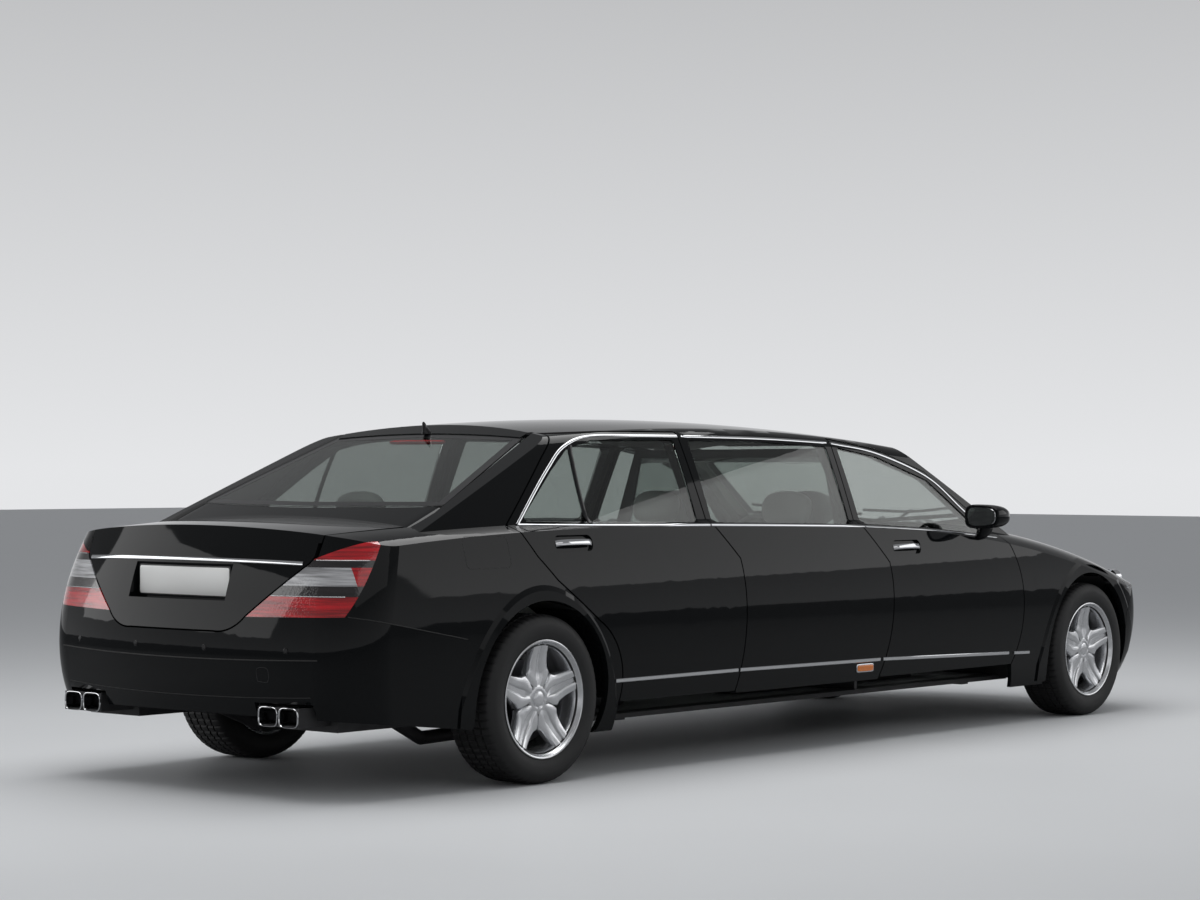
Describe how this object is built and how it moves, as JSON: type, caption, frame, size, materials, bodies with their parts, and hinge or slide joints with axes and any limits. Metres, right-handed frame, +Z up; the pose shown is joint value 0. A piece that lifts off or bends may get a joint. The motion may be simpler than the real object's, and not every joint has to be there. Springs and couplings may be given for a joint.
{
  "type": "stretch limousine",
  "caption": "Long four-door saloon car with a fixed window section between its doors, hollow cabin, hinged doors and lids, rolling wheels and steering.",
  "frame": {"origin": "on the floor under the middle of the bounding box", "axes": "+X forward along the car, +Y to the car's left, +Z up"},
  "size_m": [6.357, 2.17, 1.5],
  "materials": {
    "paint": "gloss",
    "glass": "gloss",
    "chrome": "polished",
    "alloy": "satin",
    "tyre": "matt",
    "steel": "satin",
    "iron": "matt",
    "black_plastic": "matt",
    "leather": "satin",
    "headlamp": "gloss",
    "tail_lamp": "gloss",
    "underbody": "matt"
  },
  "bodies": {
    "body": {"floor": "underbody", "roof": "paint", "fenders": "paint", "quarters": "paint", "middle_panels": "paint", "front_bumper": "paint", "rear_bumper": "paint", "grille": "chrome", "headlamps": "headlamp", "tail_lamps": "tail_lamp", "windscreen": "glass", "backlight": "glass", "middle_glass": "glass", "cowl": "black_plastic", "front_suspension": "iron", "rear_suspension": "iron", "driveline": "iron", "exhaust": "steel", "dashboard": "black_plastic", "seats": "leather", "partition": "leather", "rear_bulkhead": "leather"},
    "front_knuckle_right": {"front_knuckle_right": "iron"},
    "front_wheel_right": {"front_tyre_right": "tyre", "front_rim_right": "alloy"},
    "rear_wheel_right": {"rear_tyre_right": "tyre", "rear_rim_right": "alloy"},
    "front_door_right": {"front_door_right": "paint", "front_door_glass_right": "glass", "mirror_right": "paint"},
    "rear_door_right": {"rear_door_right": "paint", "rear_door_glass_right": "glass"},
    "front_knuckle_left": {"front_knuckle_left": "iron"},
    "front_wheel_left": {"front_tyre_left": "tyre", "front_rim_left": "alloy"},
    "rear_wheel_left": {"rear_tyre_left": "tyre", "rear_rim_left": "alloy"},
    "front_door_left": {"front_door_left": "paint", "front_door_glass_left": "glass", "mirror_left": "paint"},
    "rear_door_left": {"rear_door_left": "paint", "rear_door_glass_left": "glass"},
    "bonnet": {"bonnet": "paint"},
    "boot_lid": {"boot_lid": "paint"},
    "steering_wheel": {"steering_wheel": "leather"}
  },
  "joints": [
    {"name": "steer_left", "type": "hinge", "parent": "body", "child": "front_knuckle_left", "pos_m": [2.333, 0.668, 0.343], "axis": [0, 0, 1], "range_deg": [-35, 35]},
    {"name": "front_wheel_left_spin", "type": "hinge", "parent": "front_knuckle_left", "child": "front_wheel_left", "pos_m": [2.333, 0.8, 0.343], "axis": [0, 1, 0], "continuous": true},
    {"name": "rear_wheel_left_spin", "type": "hinge", "parent": "body", "child": "rear_wheel_left", "pos_m": [-1.982, 0.8, 0.343], "axis": [0, 1, 0], "continuous": true},
    {"name": "front_door_left_hinge", "type": "hinge", "parent": "body", "child": "front_door_left", "pos_m": [1.535, 0.9125, 0.6], "axis": [0, 0, -1], "range_deg": [0, 68]},
    {"name": "rear_door_left_hinge", "type": "hinge", "parent": "body", "child": "rear_door_left", "pos_m": [-0.795, 0.9125, 0.6], "axis": [0, 0, -1], "range_deg": [0, 68]},
    {"name": "steer_right", "type": "hinge", "parent": "body", "child": "front_knuckle_right", "pos_m": [2.333, -0.668, 0.343], "axis": [0, 0, 1], "range_deg": [-35, 35]},
    {"name": "front_wheel_right_spin", "type": "hinge", "parent": "front_knuckle_right", "child": "front_wheel_right", "pos_m": [2.333, -0.8, 0.343], "axis": [0, 1, 0], "continuous": true},
    {"name": "rear_wheel_right_spin", "type": "hinge", "parent": "body", "child": "rear_wheel_right", "pos_m": [-1.982, -0.8, 0.343], "axis": [0, 1, 0], "continuous": true},
    {"name": "front_door_right_hinge", "type": "hinge", "parent": "body", "child": "front_door_right", "pos_m": [1.535, -0.9125, 0.6], "axis": [0, 0, 1], "range_deg": [0, 68]},
    {"name": "rear_door_right_hinge", "type": "hinge", "parent": "body", "child": "rear_door_right", "pos_m": [-0.795, -0.9125, 0.6], "axis": [0, 0, 1], "range_deg": [0, 68]},
    {"name": "bonnet_hinge", "type": "hinge", "parent": "body", "child": "bonnet", "pos_m": [1.814, 0, 0.9751], "axis": [0, -1, 0], "range_deg": [0, 50]},
    {"name": "boot_lid_hinge", "type": "hinge", "parent": "body", "child": "boot_lid", "pos_m": [-2.618, 0, 1.05367], "axis": [0, 1, 0], "range_deg": [0, 75]},
    {"name": "steering_wheel_turn", "type": "hinge", "parent": "body", "child": "steering_wheel", "pos_m": [1.15, 0.38, 0.855], "axis": [-0.9613, 0, 0.2756], "range_deg": [-490, 490]}
  ],
  "couplings": [
    {"joint": "steer_right", "follows": "steer_left", "ratio": 1},
    {"joint": "steering_wheel_turn", "follows": "steer_left", "ratio": 14}
  ]
}
